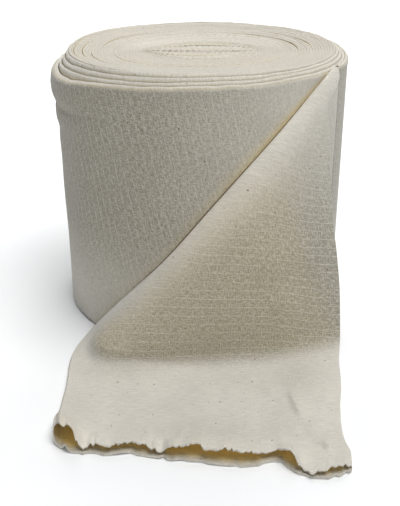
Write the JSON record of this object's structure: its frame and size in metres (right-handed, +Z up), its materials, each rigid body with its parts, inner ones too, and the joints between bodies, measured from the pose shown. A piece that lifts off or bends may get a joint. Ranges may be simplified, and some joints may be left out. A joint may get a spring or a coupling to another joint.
{
  "type": "tubular bandage roll",
  "caption": "Coreless roll of flattened elasticated cotton tube bandage on its end, the loose end folded on the diagonal, hanging to an open mouth.",
  "frame": {"origin": "centre of the roll's flat base, on the surface it stands on", "axes": "+Z up along the roll's axis; -Y is the front, where the loose end runs forward; +X is the right side seen from the front"},
  "size_m": [0.1387, 0.2223, 0.1256],
  "materials": {
    "knitted_cotton": "unbleached cotton rib knit with covered elastic threads, matt, slightly fuzzy"
  },
  "bodies": {
    "root": {"wound_roll": "knitted_cotton", "loose_end": "knitted_cotton"}
  },
  "joints": []
}
